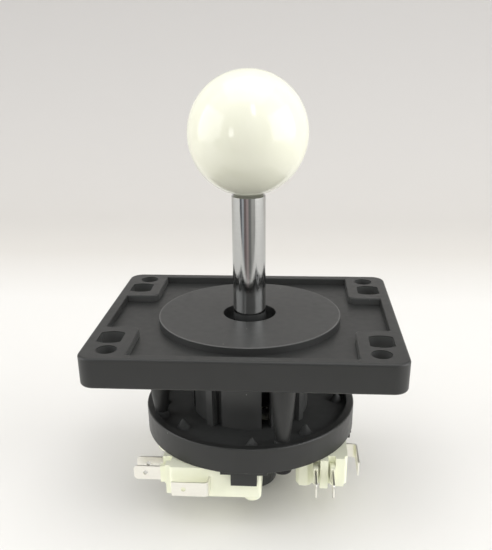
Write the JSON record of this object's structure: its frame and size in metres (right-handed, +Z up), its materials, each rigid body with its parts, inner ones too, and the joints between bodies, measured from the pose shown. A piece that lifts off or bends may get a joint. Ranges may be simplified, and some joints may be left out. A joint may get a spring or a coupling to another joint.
{
  "type": "arcade joystick lever",
  "caption": "Ball-topped arcade joystick: a chromed lever on a sprung ball pivot in a panel plate, with snap-action switches pinwheeled round its actuator below.",
  "frame": {"origin": "centre of the mounting plate's top face, on the lever's axis", "axes": "+Z up the lever, out through the panel; +X along the plate's long side; -Y is the front"},
  "size_m": [0.0918, 0.0758, 0.1332],
  "materials": {
    "charcoal_moulding": "fine-grained charcoal moulding",
    "washer_plastic": "smooth charcoal plastic",
    "tray_moulding": "fine-grained charcoal moulding",
    "blackened_steel": "blackened screws",
    "chromed_shaft": "polished chrome",
    "ivory_ball": "polished ivory white",
    "black_bushing": "slick black plastic",
    "grommet_rubber": "soft black rubber",
    "bare_steel": "zinc-bright steel",
    "switch_cream": "cream moulding",
    "plunger_plastic": "black plunger",
    "tinned_blade": "tinned brass",
    "spring_copper": "spring copper"
  },
  "bodies": {
    "base": {"mounting_plate": "charcoal_moulding", "dust_washer": "washer_plastic", "switch_tray": "tray_moulding", "tray_screws": "blackened_steel", "front_switch_case": "switch_cream", "front_switch_cover": "switch_cream", "front_switch_open_terminal": "tinned_blade", "front_switch_closed_terminal": "tinned_blade", "front_switch_common_terminal": "tinned_blade", "right_switch_case": "switch_cream", "right_switch_cover": "switch_cream", "right_switch_open_terminal": "tinned_blade", "right_switch_closed_terminal": "tinned_blade", "right_switch_common_terminal": "tinned_blade", "back_switch_case": "switch_cream", "back_switch_cover": "switch_cream", "back_switch_open_terminal": "tinned_blade", "back_switch_closed_terminal": "tinned_blade", "back_switch_common_terminal": "tinned_blade", "left_switch_case": "switch_cream", "left_switch_cover": "switch_cream", "left_switch_open_terminal": "tinned_blade", "left_switch_closed_terminal": "tinned_blade", "left_switch_common_terminal": "tinned_blade"},
    "centering": {"centering_grommet": "grommet_rubber"},
    "pivot": {"pivot_bushing": "black_bushing", "thrust_washer": "bare_steel", "actuator": "black_bushing"},
    "lever": {"shaft": "chromed_shaft", "ball_knob": "ivory_ball", "retaining_clip": "bare_steel"},
    "front_plunger": {"front_switch_plunger": "plunger_plastic"},
    "front_snap_blade": {"front_switch_snap_blade": "spring_copper"},
    "right_plunger": {"right_switch_plunger": "plunger_plastic"},
    "right_snap_blade": {"right_switch_snap_blade": "spring_copper"},
    "back_plunger": {"back_switch_plunger": "plunger_plastic"},
    "back_snap_blade": {"back_switch_snap_blade": "spring_copper"},
    "left_plunger": {"left_switch_plunger": "plunger_plastic"},
    "left_snap_blade": {"left_switch_snap_blade": "spring_copper"}
  },
  "joints": [
    {"name": "tilt_x", "type": "hinge", "parent": "base", "child": "centering", "pos_m": [0, 0, -0.012], "axis": [1, 0, 0], "range_deg": [-9.5, 9.5], "stiffness_Nm_per_rad": 1.8, "deforming": ["centering_grommet"]},
    {"name": "tilt_y", "type": "hinge", "parent": "centering", "child": "pivot", "pos_m": [0, 0, -0.012], "axis": [0, 1, 0], "range_deg": [-9.5, 9.5], "stiffness_Nm_per_rad": 1.8, "deforming": ["centering_grommet"]},
    {"name": "lever_spin", "type": "hinge", "parent": "pivot", "child": "lever", "pos_m": [0, 0, -0.012], "axis": [0, 0, 1], "continuous": true},
    {"name": "front_plunger_press", "type": "slide", "parent": "base", "child": "front_plunger", "axis": [0, -1, 0], "range_m": [-0.00085, 0.00085], "stiffness_N_per_m": 400},
    {"name": "front_snap", "type": "hinge", "parent": "base", "child": "front_snap_blade", "pos_m": [0.003, -0.02459, -0.04365], "axis": [0, 0, 1], "range_deg": [-0.85, 0.85]},
    {"name": "right_plunger_press", "type": "slide", "parent": "base", "child": "right_plunger", "axis": [1, 0, 0], "range_m": [-0.00085, 0.00085], "stiffness_N_per_m": 400},
    {"name": "right_snap", "type": "hinge", "parent": "base", "child": "right_snap_blade", "pos_m": [0.02459, 0.003, -0.04365], "axis": [0, 0, 1], "range_deg": [-0.85, 0.85]},
    {"name": "back_plunger_press", "type": "slide", "parent": "base", "child": "back_plunger", "axis": [0, 1, 0], "range_m": [-0.00085, 0.00085], "stiffness_N_per_m": 400},
    {"name": "back_snap", "type": "hinge", "parent": "base", "child": "back_snap_blade", "pos_m": [-0.003, 0.02459, -0.04365], "axis": [0, 0, 1], "range_deg": [-0.85, 0.85]},
    {"name": "left_plunger_press", "type": "slide", "parent": "base", "child": "left_plunger", "axis": [-1, 0, 0], "range_m": [-0.00085, 0.00085], "stiffness_N_per_m": 400},
    {"name": "left_snap", "type": "hinge", "parent": "base", "child": "left_snap_blade", "pos_m": [-0.02459, -0.003, -0.04365], "axis": [0, 0, 1], "range_deg": [-0.85, 0.85]}
  ],
  "couplings": [
    {"joint": "front_plunger_press", "follows": "tilt_x", "m_per_rad": -0.0048249},
    {"joint": "front_snap", "follows": "tilt_x", "ratio": -0.084211},
    {"joint": "right_plunger_press", "follows": "tilt_y", "m_per_rad": -0.0048249},
    {"joint": "right_snap", "follows": "tilt_y", "ratio": -0.084211},
    {"joint": "back_plunger_press", "follows": "tilt_x", "m_per_rad": 0.0048249},
    {"joint": "back_snap", "follows": "tilt_x", "ratio": 0.084211},
    {"joint": "left_plunger_press", "follows": "tilt_y", "m_per_rad": 0.0048249},
    {"joint": "left_snap", "follows": "tilt_y", "ratio": 0.084211}
  ]
}
